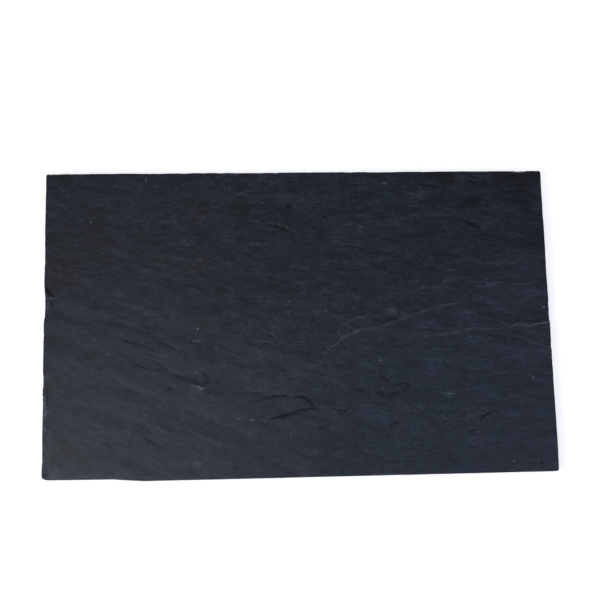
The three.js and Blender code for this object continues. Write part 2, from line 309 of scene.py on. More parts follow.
# Lights: name, place, width and height, in metres, and colour. All point at the origin.
LIGHTS = (
    ("key", (-0.36, -0.26, 1.03), (0.4, 0.4), (0.825, 0.885, 1.0)),
    ("fill", (0.66, -0.28, 0.95), (0.5, 0.5), (0.60, 0.68, 1.0)),
    ("back", (-0.15, 1.4, 0.5), (1.6, 0.4), (1.0, 1.0, 1.0)),
)
FLOOR_SIZE = 12
FLOOR_GAP = 0.0002
FLOOR_GLOW = 0.72


def length_setting(name, description, default):
    return FloatProperty(name=name, description=description, default=default, unit="LENGTH", precision=5)


def power_setting(name, description, default):
    return FloatProperty(name=name, description=description, default=default, unit="POWER")


def place_setting(name, description, default):
    return FloatVectorProperty(
        name=name, description=description, default=default, subtype="TRANSLATION", unit="LENGTH"
    )


def colour_setting(name, description, default):
    return FloatVectorProperty(
        name=name, description=description, default=default, subtype="COLOR", min=0, max=1
    )


class CopingStoneSettings(bpy.types.PropertyGroup):
    """Sizes of the stone and of the relief on its riven face."""

    length: length_setting("Length", "Length of the slab", HIGH.x - LOW.x)
    depth: length_setting("Depth", "Depth of the slab, front to back", HIGH.y - LOW.y)
    thickness: length_setting("Thickness", "Mean thickness of the slab", 0.025)
    face_cell: length_setting("Face cell", "Size of a mesh cell on the riven face", 0.002)
    swell_height: length_setting("Swell height", "Height of the broad swells", 0.0007)
    rib_height: length_setting("Rib height", "Height of the ribs along the grain", 0.00006)
    lineation_height: length_setting("Lineation height", "Height of the streaks along the grain", 0.00006)
    terrace_height: length_setting("Terrace height", "Height of one faint split layer", 0.00011)


class SlateSettings(bpy.types.PropertyGroup):
    """Colours of the slate."""

    slate_colour: colour_setting("Slate", "Colour of the riven slate", (0.0188, 0.0245, 0.0366))
    plum_colour: colour_setting("Plum tint", "Colour of the warmer slate", (0.0235, 0.0241, 0.0366))
    teal_colour: colour_setting("Teal tint", "Colour of the greener slate", (0.0165, 0.0270, 0.0370))
    # This colour is also the painted highlight along the laminae's ledges
    pale_mark_and_highlight_colour: colour_setting("Fresh edge", "Colour of freshly broken edges", (0.145, 0.168, 0.205))
    speck_colour: colour_setting("Speck", "Colour of the mineral specks and scratches", (0.27, 0.29, 0.32))
    warm_colour: colour_setting("Warm stain", "Colour of the warm grey stains", (0.0275, 0.0246, 0.0302))
    dark_colour: colour_setting("Dark stain", "Colour of the dark brown stains", (0.0085, 0.0064, 0.0078))
    rust_colour: colour_setting("Rust", "Colour of the specks of rust", (0.085, 0.052, 0.030))
    sawn_colour: colour_setting("Sawn slate", "Colour of the sides and underside", (0.045, 0.049, 0.058))


class CopingStageSettings(bpy.types.PropertyGroup):
    """The floor, lights and camera."""

    floor_colour: colour_setting("Floor", "Colour of the floor", (0.9, 0.9, 0.9))
    camera_place: place_setting("Camera place", "Where the camera stands", (-0.07154, -0.16547, 1.09564))
    camera_aim: place_setting("Camera aim", "Point at the middle of the picture", (0.00002, 0.02112, 0.025))
    camera_roll: FloatProperty(
        name="Camera roll", description="Turn of the camera about its line of sight",
        default=math.radians(19.853), subtype="ANGLE",
    )
    lens: FloatProperty(
        name="Lens", description="Focal length on a 36 mm frame", default=66.08, unit="CAMERA"
    )
    key_power: power_setting("Key power", "Power of the key light", 3.62)
    fill_power: power_setting("Fill power", "Power of the cool light at the right", 2.1)
    back_power: power_setting("Back power", "Power of the low light behind the stone", 4.15)


class Graph:
    """Adds nodes to a node tree, each fed by sockets or by plain values."""

    def __init__(self, tree):
        self.tree = tree

    def feed(self, socket, value):
        if isinstance(value, bpy.types.NodeSocket):
            self.tree.links.new(value, socket)
        else:
            socket.default_value = value

    def node(self, kind, inputs=None, **settings):
        made = self.tree.nodes.new(kind)
        for name, value in settings.items():
            setattr(made, name, value)
        for name, value in (inputs or {}).items():
            self.feed(made.inputs[name], value)
        return made

    def math(self, operation, *values):
        made = self.node("ShaderNodeMath", operation=operation)
        for socket, value in zip(made.inputs, values):
            self.feed(socket, value)
        return made.outputs[0]

    def total(self, first, *others):
        for other in others:
            first = self.math("ADD", first, other)
        return first

    def product(self, first, *others):
        for other in others:
            first = self.math("MULTIPLY", first, other)
        return first

    def most(self, first, *others):
        for other in others:
            first = self.math("MAXIMUM", first, other)
        return first

    def minus(self, first, second):
        return self.math("SUBTRACT", first, second)

    def vector(self, x=0.0, y=0.0, z=0.0):
        return self.node("ShaderNodeCombineXYZ", {0: x, 1: y, 2: z}).outputs[0]

    def split(self, vector):
        return self.node("ShaderNodeSeparateXYZ", {0: vector}).outputs

    def scaled(self, vector, factor):
        made = self.node("ShaderNodeVectorMath", {"Vector": vector, "Scale": factor}, operation="SCALE")
        return made.outputs[0]

    def ramp(self, value, low, high, to_low=0.0, to_high=1.0, kind="SMOOTHSTEP"):
        made = self.node("ShaderNodeMapRange", interpolation_type=kind)
        for socket, given in zip(made.inputs, (value, low, high, to_low, to_high)):
            self.feed(socket, given)
        return made.outputs[0]

    def linear(self, value, low, high, to_low=0.0, to_high=1.0):
        return self.ramp(value, low, high, to_low, to_high, kind="LINEAR")

    def swing(self, value, reach):
        """A noise value from 0 to 1 as a shift to either side."""
        return self.linear(value, 0.0, 1.0, -reach, reach)

    def noise(self, vector, detail=2.0, roughness=0.5, warp=0.0, output=0):
        made = self.node(
            "ShaderNodeTexNoise",
            {"Vector": vector, "Scale": 1.0, "Detail": detail, "Roughness": roughness, "Distortion": warp},
            noise_dimensions="3D",
        )
        return made.outputs[output]

    def plan_noise(self, x, y, length, width, seed=0.0, **how):
        """Noise over the plan, stretched to a length and a width in millimetres."""
        place = self.vector(self.product(x, 1 / length), self.product(y, 1 / width), seed)
        return self.noise(place, **how)

    def place(self):
        """Object coordinates in millimetres."""
        return self.scaled(self.node("ShaderNodeTexCoord").outputs["Object"], 1 / MM)

    def tinted(self, share, colour, tint):
        """A colour with a share of a tint mixed in."""
        made = self.node("ShaderNodeMix", {"Factor": share, 6: colour, 7: opaque(tint)}, data_type="RGBA")
        return made.outputs[2]

    def wave(self, distance, length):
        return self.math("SINE", self.math("MULTIPLY", distance, 2 * math.pi / length))

    def profile(self, place, points, half, top):
        """A profile of given values up to top along a line from -half to half."""
        made = self.node("ShaderNodeFloatCurve")
        curve = made.mapping.curves[0]
        spots = [((at + half) / (2 * half), value / top) for at, value in points]
        while len(curve.points) < len(spots):
            curve.points.new(0.5, 0.5)
        for point, spot in zip(curve.points, spots):
            point.location = spot
            point.handle_type = "VECTOR"
        made.mapping.update()
        self.feed(made.inputs["Value"], self.linear(place, -half, half))
        return self.math("MULTIPLY", made.outputs[0], top)


def across_grain(graph, x, y):
    """Distance across the grain: the slate's lineation runs where this stays the same."""
    square = graph.product(x, x)
    fan = graph.total(graph.product(x, GRAIN_FAN), graph.product(square, GRAIN_FLARE), 1.0)
    curve = graph.product(square, -GRAIN_CURVE)
    twist = graph.product(square, x, GRAIN_TWIST)
    return graph.total(graph.product(y, fan), graph.product(x, -GRAIN_FALL), curve, twist)


def plan_curve(points, spacing):
    """Evenly counted points on a smooth curve through given plan points."""
    ends = [points[0], *points, points[-1]]
    made = []
    for before, start, end, after in zip(ends, ends[1:], ends[2:], ends[3:]):
        before, start, end, after = (Vector(p) for p in (before, start, end, after))
        count = max(2, round((end - start).length / spacing))
        for i in range(count):
            t = i / count
            bend = (end - before) * t + (before * 2 - start * 5 + end * 4 - after) * t * t
            twist = (start * 3 - end * 3 + after - before) * t * t * t
            made.append(start + (bend + twist) / 2)
    made.append(Vector(points[-1]))
    return made


def deselect():
    bpy.ops.object.select_all(action="DESELECT")


def select_only(obj):
    deselect()
    obj.select_set(True)
    bpy.context.view_layer.objects.active = obj


def add_strip(columns, rows, place, name, value):
    """A grid bent to place(i, j), in millimetres, with value(i, j) stored on it, as a new object."""
    deselect()
    bpy.ops.mesh.primitive_grid_add(x_subdivisions=columns, y_subdivisions=rows, size=1)
    strip = bpy.context.active_object
    layer = strip.data.attributes.new(name, "FLOAT", "POINT")
    for vertex, item in zip(strip.data.vertices, layer.data):
        i = round((vertex.co.x + 0.5) * columns)
        j = round((vertex.co.y + 0.5) * rows)
        vertex.co = Vector(place(i, j)) * MM
        item.value = value(i, j)
    return strip


def fade(i, columns):
    """Rises from nothing at one end of a line and falls to nothing at the other."""
    return math.sqrt(max(0.0, math.sin(math.pi * i / columns)))


def broken(i, breaks):
    """How whole a ledge or a crack is at its point i."""
    quick, slow, mean, swing = breaks
    return mean + swing * math.sin(quick * i) * math.sin(slow * i)


def lamina_stencil(step, run, pale, ledge):
    """A lamina's height over the face, as a sheet with a steep riser behind its ledge."""
    line = plan_curve(ledge, LEDGE_CELL)
    columns = len(line) - 1
    reach = Vector(run)
    dips = [at / reach.length for at, share in FRESH_EDGE_AND_HIGHLIGHT_BAND]
    dips += [share for share in (k / DIP_CELLS for k in range(1, DIP_CELLS + 1)) if share > dips[-1]]
    rows = len(dips) - 1

    def place(i, j):
        dip = dips[rows - j]
        spot = line[i] + reach * dip
        height = 0.0 if dip < 0 else (step + LAMINA_SINK) * fade(i, columns) * (1 - dip)
        return (spot.x, spot.y, height - LAMINA_SINK)

    # The fresh edge along the ledge, painted paler still as a highlight on its riser
    def fresh_edge_and_highlight(i, j):
        row = rows - j
        if row >= len(FRESH_EDGE_AND_HIGHLIGHT_BAND):
            return 0.0
        level = pale[0] + (pale[1] - pale[0]) * i / columns
        return level * fade(i, columns) * broken(i, LEDGE_BREAKS) * FRESH_EDGE_AND_HIGHLIGHT_BAND[row][1]

    return add_strip(columns, rows, place, "pale", fresh_edge_and_highlight)


def furrow_stencil(width, depth, tone, rim, line):
    """A furrow with a sharp bottom that narrows and runs out at both ends."""
    spots = plan_curve(line, CRACK_CELL)
    columns = len(spots) - 1

    def place(i, j):
        ahead = spots[min(i + 1, columns)] - spots[max(i - 1, 0)]
        half = (CRACK_END_WIDTH + fade(i, columns) * broken(i, CRACK_BREAKS)) * width / 2
        spot = spots[i] + Vector((-ahead.y, ahead.x)).normalized() * (j - 1) * half
        return (spot.x, spot.y, -depth * fade(i, columns) if j == 1 else 0.0)

    # Painted shade in the furrow or crack: darkest along its bed and less at its rims
    def painted_shade(i, j):
        level = min(1.0, 0.3 + 0.85 * broken(i, CRACK_BREAKS))
        return tone * fade(i, columns) * level * (1.0 if j == 1 else rim)

    return add_strip(columns, 2, place, "tone", painted_shade)


def scoop_stencil(at, radii, tone):
    """The shell-shaped hollow that a chip or a flake leaves."""
    deselect()
    bpy.ops.mesh.primitive_uv_sphere_add(segments=SCOOP_SIDES, ring_count=SCOOP_RINGS, radius=1)
    hollow = bpy.context.active_object
    layer = hollow.data.attributes.new("tone", "FLOAT", "POINT")
    for vertex, item in zip(hollow.data.vertices, layer.data):
        # A dark tone is painted shade that deepens to the bottom of the hollow; a pale tone is fresh broken
        # slate
        item.value = tone * max(0.0, -vertex.co.z)
        x, y, z = (share * radius for share, radius in zip(vertex.co, radii))
        vertex.co = Vector((at[0] + x, at[1] + y, z)) * MM
    return hollow


def joined(objects, name):
    select_only(objects[0])
    for obj in objects:
        obj.select_set(True)
    bpy.ops.object.join()
    objects[0].name = name
    return objects[0]


def feature_lines():
    """Points along every ledge, crack and scoop edge and the bruised arris, in millimetres."""
    points = []
    for *_, line in LAMINAE + CRACKS + FURROWS:
        points += plan_curve(line, 1)
    for (at_x, at_y), (wide, deep, _), _ in SCOOPS:
        for k in range(SCOOP_SIDES):
            turn = 2 * math.pi * k / SCOOP_SIDES
            points.append(Vector((at_x + wide * math.cos(turn), at_y + deep * math.sin(turn))))
    for step in range(round((BRUISE_START - LOW.y / MM) / 2)):
        for inset in (1, 3):
            points.append(Vector((LOW.x / MM + inset, LOW.y / MM + 2 * step)))
    return points


def select_faces(obj, wanted):
    """Selects, in edit mode, the faces for which wanted(face) is true."""
    bpy.ops.object.mode_set(mode="EDIT")
    bpy.ops.mesh.select_mode(type="FACE")
    bpy.ops.mesh.select_all(action="DESELECT")
    bpy.ops.object.mode_set(mode="OBJECT")
    for face in obj.data.polygons:
        face.select = wanted(face)
    bpy.ops.object.mode_set(mode="EDIT")


def select_rim():
    bpy.ops.mesh.select_mode(type="EDGE")
    bpy.ops.mesh.select_all(action="DESELECT")
    bpy.ops.mesh.select_non_manifold(
        extend=False, use_wire=False, use_boundary=True, use_multi_face=False, use_non_contiguous=False,
        use_verts=False,
    )


def sawn_blank(stone):
    """A plain slab: a fine face, finer still along its features, sawn sides and a coarse underside."""
    deselect()
    columns = round(stone.length / stone.face_cell)
    rows = round(stone.depth / stone.face_cell)
    bpy.ops.mesh.primitive_grid_add(
        x_subdivisions=columns, y_subdivisions=rows, size=1, location=(0, 0, stone.thickness)
    )
    slab = bpy.context.active_object
    slab.name = NODE + "_riven"
    bpy.ops.transform.resize(value=(stone.length, stone.depth, 1))
    bpy.ops.object.transform_apply(location=True, rotation=True, scale=True)

    lines = feature_lines()
    tree = kdtree.KDTree(len(lines))
    for index, point in enumerate(lines):
        tree.insert((point.x * MM, point.y * MM, stone.thickness), index)
    tree.balance()
    select_faces(slab, lambda face: tree.find(face.center)[2] < FEATURE_REACH * MM)
    bpy.ops.mesh.subdivide(number_cuts=FEATURE_CUTS)

    select_rim()
    level = 0.0
    for row in SIDE_ROWS:
        drop = (row - level) * stone.thickness
        bpy.ops.mesh.extrude_edges_move(TRANSFORM_OT_translate={"value": (0, 0, -drop)})
        level = row

    bpy.ops.mesh.select_all(action="DESELECT")
    margin = 2 * UNDERSIDE_MARGIN * MM
    cell = UNDERSIDE_CELL * MM
    bpy.ops.mesh.primitive_grid_add(
        x_subdivisions=round(stone.length / cell), y_subdivisions=round(stone.depth / cell), size=1
    )
    bpy.ops.transform.resize(value=(stone.length - margin, stone.depth - margin, 1))
    bpy.ops.mesh.flip_normals()
    select_rim()
    bpy.ops.mesh.bridge_edge_loops()
    bpy.ops.mesh.select_all(action="SELECT")
    bpy.ops.mesh.normals_make_consistent(inside=False)
    bpy.ops.object.mode_set(mode="OBJECT")
    return slab


def outline_shift(graph, half_x, half_y, x, y):
    """How far the plan is drawn in at the split slivers and the broken corners."""
    front = graph.profile(x, FRONT_SET_BACK, half_x, SET_BACK_LIMIT)
    near_front = graph.ramp(y, -half_y + SET_BACK_REACH, -half_y)
    left = graph.profile(y, LEFT_SET_BACK, half_y, SET_BACK_LIMIT)
    near_left = graph.ramp(x, -half_x + SET_BACK_REACH, -half_x)

    over_x = graph.most(graph.minus(graph.math("ABSOLUTE", x), half_x - CORNER_RADIUS), 0.0)
    over_y = graph.most(graph.minus(graph.math("ABSOLUTE", y), half_y - CORNER_RADIUS), 0.0)
    reach = graph.math("SQRT", graph.total(graph.product(over_x, over_x), graph.product(over_y, over_y)))
    share = graph.math("DIVIDE", graph.most(over_x, over_y), graph.most(reach, 0.0001))
    short = graph.minus(share, 1.0)
    is_corner = graph.math("GREATER_THAN", graph.product(over_x, over_y), 0.0)
    corner_x = graph.product(over_x, short, is_corner, graph.math("SIGN", x))
    corner_y = graph.product(over_y, short, is_corner, graph.math("SIGN", y))
    shift_x = graph.total(graph.product(left, near_left), corner_x)
    shift_y = graph.total(graph.product(front, near_front), corner_y)
    return shift_x, shift_y


def face_relief(graph, stone, x, y):
    """Height of the riven face over its mean: swells, ribs, streaks along the grain, terraces and grit."""
    across = across_grain(graph, x, y)
    swell = graph.product(
        graph.wave(graph.total(x, SWELL_SHIFT), SWELL_LENGTH),
        graph.wave(graph.total(y, SWELL_DEPTH / 4), SWELL_DEPTH),
        stone.swell_height / MM,
    )
    wander = graph.product(graph.wave(x, RIB_WANDER_LENGTH), RIB_WANDER)
    drift = graph.swing(graph.plan_noise(x, y, 90, 40), RIB_DRIFT)
    rib = graph.wave(graph.total(across, wander, drift), RIB_SPACING)
    rib = graph.product(rib, stone.rib_height / MM)

    streak = graph.plan_noise(x, across, 26, 6.5, 3.1, detail=1.0, roughness=0.6)
    streak = graph.product(graph.minus(streak, 0.5), 2 * stone.lineation_height / MM)

    layers = graph.plan_noise(x, across, 120, 34, 7.7, detail=3.0, roughness=0.55)
    layers = graph.product(layers, TERRACES)
    riser = graph.ramp(graph.math("FRACT", layers), TERRACE_RISER, 1.0)
    terrace = graph.total(graph.math("FLOOR", layers), riser, -TERRACES / 2)
    terrace = graph.product(terrace, stone.terrace_height / MM)

    grit = graph.product(graph.minus(graph.plan_noise(x, y, 11, 8, 1.3), 0.5), GRIT_HEIGHT)
    return graph.total(swell, rib, streak, terrace, grit)


def stencil_hit(graph, stencil, x, y, upward, attribute):
    """Height of a stencil over a plan point, in millimetres, and what is marked on it there."""
    source = graph.node("GeometryNodeObjectInfo", {"Object": stencil}).outputs["Geometry"]
    marked = graph.node("GeometryNodeInputNamedAttribute", {"Name": attribute}, data_type="FLOAT").outputs[0]
    far = -50.0 if upward else 50.0
    start = graph.scaled(graph.vector(x, y, far), MM)
    ray = graph.node(
        "GeometryNodeRaycast",
        {
            "Target Geometry": source,
            "Attribute": marked,
            "Source Position": start,
            "Ray Direction": (0, 0, 1 if upward else -1),
            "Ray Length": 0.1,
        },
        data_type="FLOAT",
    )
    hit = ray.outputs["Is Hit"]
    height = graph.product(graph.split(ray.outputs["Hit Position"])[2], 1 / MM, hit)
    return height, graph.product(ray.outputs["Attribute"], hit)


def store(graph, geometry, name, value):
    made = graph.node(
        "GeometryNodeStoreNamedAttribute", {"Geometry": geometry, "Name": name, "Value": value},
        data_type="FLOAT", domain="POINT",
    )
    return made.outputs[0]


def relief_tree(stone, sheets, hollows):
    """The node tree that turns the sawn blank into the riven stone."""
    tree = bpy.data.node_groups.new("RivenStone", "GeometryNodeTree")
    tree.interface.new_socket("Geometry", in_out="INPUT", socket_type="NodeSocketGeometry")
    tree.interface.new_socket("Geometry", in_out="OUTPUT", socket_type="NodeSocketGeometry")
    graph = Graph(tree)
    blank = graph.node("NodeGroupInput").outputs[0]
    half_x = stone.length / MM / 2
    half_y = stone.depth / MM / 2
    thick = stone.thickness / MM

    place = graph.scaled(graph.node("GeometryNodeInputPosition").outputs[0], 1 / MM)
    x0, y0, z0 = graph.split(place)
    shift_x, shift_y = outline_shift(graph, half_x, half_y, x0, y0)
    x = graph.total(x0, shift_x)
    y = graph.total(y0, shift_y)

    jag = graph.split(graph.plan_noise(x, y, 8, 8, detail=3.0, roughness=0.8, output=1))
    jag_x = graph.swing(jag[0], JAG)
    jag_y = graph.swing(jag[1], JAG)
    rough_x = graph.total(x, jag_x)
    rough_y = graph.total(y, jag_y)
    # pale: the laminae's fresh edges with their painted highlight
    lift, pale = stencil_hit(graph, sheets, rough_x, rough_y, False, "pale")
    lift = graph.most(lift, 0.0)
    # tone: painted shade in cracks, furrows and pits above nought, fresh broken slate below it
    drop, tone = stencil_hit(graph, hollows, rough_x, rough_y, True, "tone")
    drop = graph.math("MINIMUM", drop, 0.0)

    edge_x = graph.minus(half_x, graph.math("ABSOLUTE", x0))
    edge_y = graph.minus(half_y, graph.math("ABSOLUTE", y0))
    edge = graph.math("MINIMUM", edge_x, edge_y)
    chip = graph.plan_noise(x, y, 9, 9, 4.2, detail=3.0, roughness=0.6)
    chip = graph.ramp(chip, 0.5, 0.75, *ARRIS_CHIPS)
    arris = graph.product(graph.ramp(edge, ARRIS_WIDTH, 0.0), chip, -1.0)
    crumb = graph.plan_noise(x, y, 3.2, 4.8, 2.6, roughness=0.7)
    patch = graph.plan_noise(x, y, 20, 17, 9.1, detail=1.0)
    along_bruise = graph.ramp(y, BRUISE_START, BRUISE_FULL)
    bruise = graph.product(
        graph.ramp(graph.total(x0, half_x, jag_x), BRUISE_WIDTH, BRUISE_WIDTH - BRUISE_STEP),
        along_bruise,
        graph.ramp(crumb, 0.38, 0.60, 0.15, 1.0),
        graph.ramp(patch, 0.40, 0.55, 0.25, 1.0),
    )
    dent = graph.product(bruise, -BRUISE_DEPTH)

    height = graph.total(face_relief(graph, stone, x, y), lift, drop, arris, dent, thick)
    z = graph.product(z0, height, 1 / thick)

    layer_place = graph.vector(graph.product(x, 1 / 60), graph.product(y, 1 / 60), graph.product(z, 1 / 2.2))
    layer = graph.ramp(graph.noise(layer_place, roughness=0.6), 0.4, 0.8, 0.0, LAYER_INSET)
    foot_chip = graph.product(graph.ramp(z0, FOOT_WIDTH, 0.0), chip, FOOT_SHARE)
    inset = graph.math("MULTIPLY", graph.total(layer, foot_chip), -1.0)
    wall_x = graph.math("LESS_THAN", edge_x, 0.01)
    wall_y = graph.math("LESS_THAN", edge_y, 0.01)
    x = graph.total(x, graph.product(wall_x, inset, graph.math("SIGN", x0)))
    y = graph.total(y, graph.product(wall_y, inset, graph.math("SIGN", y0)))
    spot = graph.scaled(graph.vector(x, y, z), MM)
    moved = graph.node("GeometryNodeSetPosition", {"Geometry": blank, "Position": spot}).outputs[0]

    at_left = graph.math("LESS_THAN", x0, 0.0)
    rim = graph.product(graph.ramp(edge_x, BRUISE_STEP, 0.0), at_left, along_bruise, 0.5)
    fresh = graph.product(graph.ramp(edge, ARRIS_WIDTH, 0.0), graph.ramp(chip, 0.3, 1.3), 0.7)
    fresh = graph.most(fresh, rim, bruise, graph.product(tone, -1.0))
    shown = store(graph, moved, "pale", graph.most(pale, fresh))
    # dark: the painted shade in cracks, furrows and pits
    shown = store(graph, shown, "dark", graph.most(tone, 0.0))
    graph.node("NodeGroupOutput", {0: shown})
    return tree


def rive(slab, stone):
    """Gives the blank its riven face, chipped arrises and layered sides."""
    sheets = joined([lamina_stencil(*lamina) for lamina in LAMINAE], "lamina_stencils")
    hollows = [
        furrow_stencil(width, depth, CRACK_PAINTED_SHADE, CRACK_RIM_PAINTED_SHADE, line) for width, depth, line in CRACKS
    ]
    hollows += [furrow_stencil(*furrow) for furrow in FURROWS]
    hollows += [scoop_stencil(*scoop) for scoop in SCOOPS]
    hollows = joined(hollows, "hollow_stencils")

    select_only(slab)
    relief = slab.modifiers.new("Riven face", "NODES")
    relief.node_group = relief_tree(stone, sheets, hollows)
    bpy.ops.object.modifier_apply(modifier=relief.name)
    for stencil in (sheets, hollows):
        bpy.data.objects.remove(stencil)


def opaque(colour):
    return (*colour, 1.0)


def new_material(name):
    material = bpy.data.materials.new(name)
    material.use_nodes = True
    material.node_tree.nodes.clear()
    return material, Graph(material.node_tree)


def slate_shader(graph, colour, roughness, height, strength):
    """Ends a slate material: its shader, with a bump of a given strength, and the output."""
    bump = graph.node("ShaderNodeBump", {"Strength": strength, "Distance": BUMP_DISTANCE, "Height": height})
    slate = graph.node(
        "ShaderNodeBsdfPrincipled",
        {"Base Color": colour, "Roughness": roughness, "Normal": bump.outputs[0]},
    )
    graph.node("ShaderNodeOutputMaterial", {"Surface": slate.outputs[0]})


def spot_mask(graph, x, y, spots):
    """Soft-edged ovals at given places, as one mask."""
    mask = 0.0
    for at_x, at_y, half_x, half_y, strength in spots:
        off_x = graph.product(graph.total(x, -at_x), 1 / half_x)
        off_y = graph.product(graph.total(y, -at_y), 1 / half_y)
        far = graph.total(graph.product(off_x, off_x), graph.product(off_y, off_y))
        mask = graph.most(mask, graph.ramp(far, 1.3, 0.2, 0.0, strength))
    return mask


def riven_material(finish, grit_tree):
    """Riven slate: blue-grey, mottled and wrinkled along its grain, with stains, fresh edges and specks,
    painted shade in its cracks, furrows and pits, and a painted highlight along its ledges.
    """
    material, graph = new_material("riven_slate")
    place = graph.place()
    x, y, _ = graph.split(place)
    across = across_grain(graph, x, y)
    along = graph.total(graph.product(x, GRAIN_PACE), graph.product(x, x, -GRAIN_SLOWING))

    def grain(length, width, seed, **how):
        """Noise stretched along the grain, with its length and width in millimetres."""
        return graph.plan_noise(along, across, length, width, seed, **how)

    fine = grain(3.0, 2.0, 0.4, roughness=0.6)
    stroke = grain(7.5, 2.1, 6.0, roughness=0.6, warp=0.5)
    wrinkle = grain(12.5, 4.3, 3.0, detail=3.0, roughness=0.65, warp=0.9)
    lens = grain(36, 12, 5.0, roughness=0.55, warp=0.8)
    mottle = grain(19, 8.5, 4.0, detail=3.0, roughness=0.6)
    dash = grain(9, 2.8, 8.0, roughness=0.55, warp=0.6)
    wisp = grain(38, 9, 11.0, warp=0.4)
    grit = graph.node("ShaderNodeGroup", {"Grain Size": 1.5}, node_tree=grit_tree).outputs["Grit"]
    cloud = graph.split(graph.plan_noise(x, y, 24, 17, 2.0, detail=3.0, roughness=0.6, output=1))

    plum = graph.ramp(graph.total(cloud[0], spot_mask(graph, x, y, PLUM_ZONES)), 0.48, 0.8)
    teal = graph.ramp(graph.total(cloud[1], spot_mask(graph, x, y, TEAL_ZONES)), 0.48, 0.8)
    colour = graph.tinted(plum, opaque(finish.slate_colour), finish.plum_colour)
    colour = graph.tinted(teal, colour, finish.teal_colour)
    drift_x = graph.total(x, graph.swing(cloud[0], 22.0))
    drift_y = graph.total(y, graph.swing(cloud[2], 17.0))
    patchy = graph.ramp(mottle, 0.3, 0.6, 0.4, 1.0)
    for spots, stain in ((WARM_STAINS, finish.warm_colour), (DARK_STAINS, finish.dark_colour)):
        mask = graph.product(spot_mask(graph, drift_x, drift_y, spots), patchy)
        colour = graph.tinted(mask, colour, stain)

    deep = spot_mask(graph, drift_x, drift_y, DEEP_ZONES)
    light = spot_mask(graph, drift_x, drift_y, LIGHT_ZONES)
    shade = graph.product(
        graph.minus(graph.total(light, 1.0), deep),
        graph.linear(fine, 0.2, 0.8, 0.52, 1.48),
        graph.linear(grit, 0.2, 0.8, 0.62, 1.38),
        graph.ramp(stroke, 0.28, 0.55, 0.70, 1.10),
        graph.ramp(dash, 0.30, 0.42, 0.54, 1.05),
        graph.linear(wrinkle, 0.2, 0.8, 0.50, 1.50),
        graph.linear(mottle, 0.25, 0.75, 0.80, 1.20),
        graph.linear(lens, 0.25, 0.75, 0.62, 1.38),
    )
    # Painted shade in cracks, furrows and pits: the slate is darkened nearly to black there
    dark = graph.node("ShaderNodeAttribute", attribute_name="dark").outputs["Fac"]
    dark = graph.product(dark, graph.ramp(fine, 0.3, 0.6, 0.5, 1.0))
    shade = graph.product(shade, graph.linear(dark, 0.0, 1.0, 1.0, 0.06))
    colour = graph.scaled(colour, shade)

    # pale: fresh edges and chips, with a painted highlight along the laminae's ledges
    pale = graph.node("ShaderNodeAttribute", attribute_name="pale").outputs["Fac"]
    worn = graph.ramp(stroke, 0.38, 0.58, 0.35, 1.0)
    thread = graph.ramp(graph.math("ABSOLUTE", graph.minus(wisp, 0.5)), 0.022, 0.0)
    thread = graph.product(thread, graph.ramp(mottle, 0.46, 0.6, 0.0, 0.21))
    cells = graph.node("ShaderNodeTexVoronoi", {"Vector": graph.scaled(place, 1 / 9.0), "Scale": 1.0})
    chance = graph.math("GREATER_THAN", graph.split(cells.outputs["Color"])[0], 0.72)
    fleck = graph.product(graph.ramp(cells.outputs["Distance"], 0.09, 0.04), chance, 0.32)
    ragged_x = graph.total(x, graph.swing(grit, 0.8))
    ragged_y = graph.total(y, graph.swing(fine, 0.8))
    ragged = graph.ramp(grit, 0.3, 0.7, 0.4, 0.9)
    specks = graph.product(spot_mask(graph, ragged_x, ragged_y, PALE_SPOTS), ragged)
    bloom_x = graph.total(x, graph.swing(stroke, 8.0))
    bloom_y = graph.total(y, graph.swing(wrinkle, 7.0))
    bloom = graph.product(spot_mask(graph, bloom_x, bloom_y, BLOOMS), graph.ramp(fine, 0.35, 0.65))
    rust = graph.product(spot_mask(graph, ragged_x, ragged_y, RUST_SPECKS), ragged)
    fresh = graph.most(graph.product(pale, worn), thread, bloom)
    colour = graph.tinted(fresh, colour, finish.pale_mark_and_highlight_colour)
    colour = graph.tinted(graph.most(fleck, specks), colour, finish.speck_colour)
    colour = graph.tinted(rust, colour, finish.rust_colour)

    height = graph.total(
        graph.product(fine, 0.4),
        graph.product(grit, 0.3),
        graph.product(stroke, 0.4),
        graph.product(wrinkle, 0.6),
    )
    roughness = graph.total(graph.linear(fine, 0.2, 0.8, 0.46, 0.54), graph.product(dark, 0.35))
    slate_shader(graph, colour, roughness, height, 0.35)
    return material


def shader_group(name, inputs, outputs):
    """A shader node group with named sockets, as its tree, a graph to fill it and what it is given."""
    tree = bpy.data.node_groups.new(name, "ShaderNodeTree")
    for way, sockets in (("INPUT", inputs), ("OUTPUT", outputs)):
        for socket, kind in sockets.items():
            tree.interface.new_socket(socket, in_out=way, socket_type="NodeSocket" + kind)
    graph = Graph(tree)
    return tree, graph, graph.node("NodeGroupInput").outputs


def grit_group():
    """The grit of broken or sawn slate, at a given grain size in millimetres."""
    tree, graph, given = shader_group("SlateGrit", {"Grain Size": "Float"}, {"Grit": "Float"})
    place = graph.scaled(graph.place(), graph.math("DIVIDE", 1.0, given["Grain Size"]))
    graph.node("NodeGroupOutput", {"Grit": graph.noise(place, detail=1.0, roughness=0.55)})
    return tree


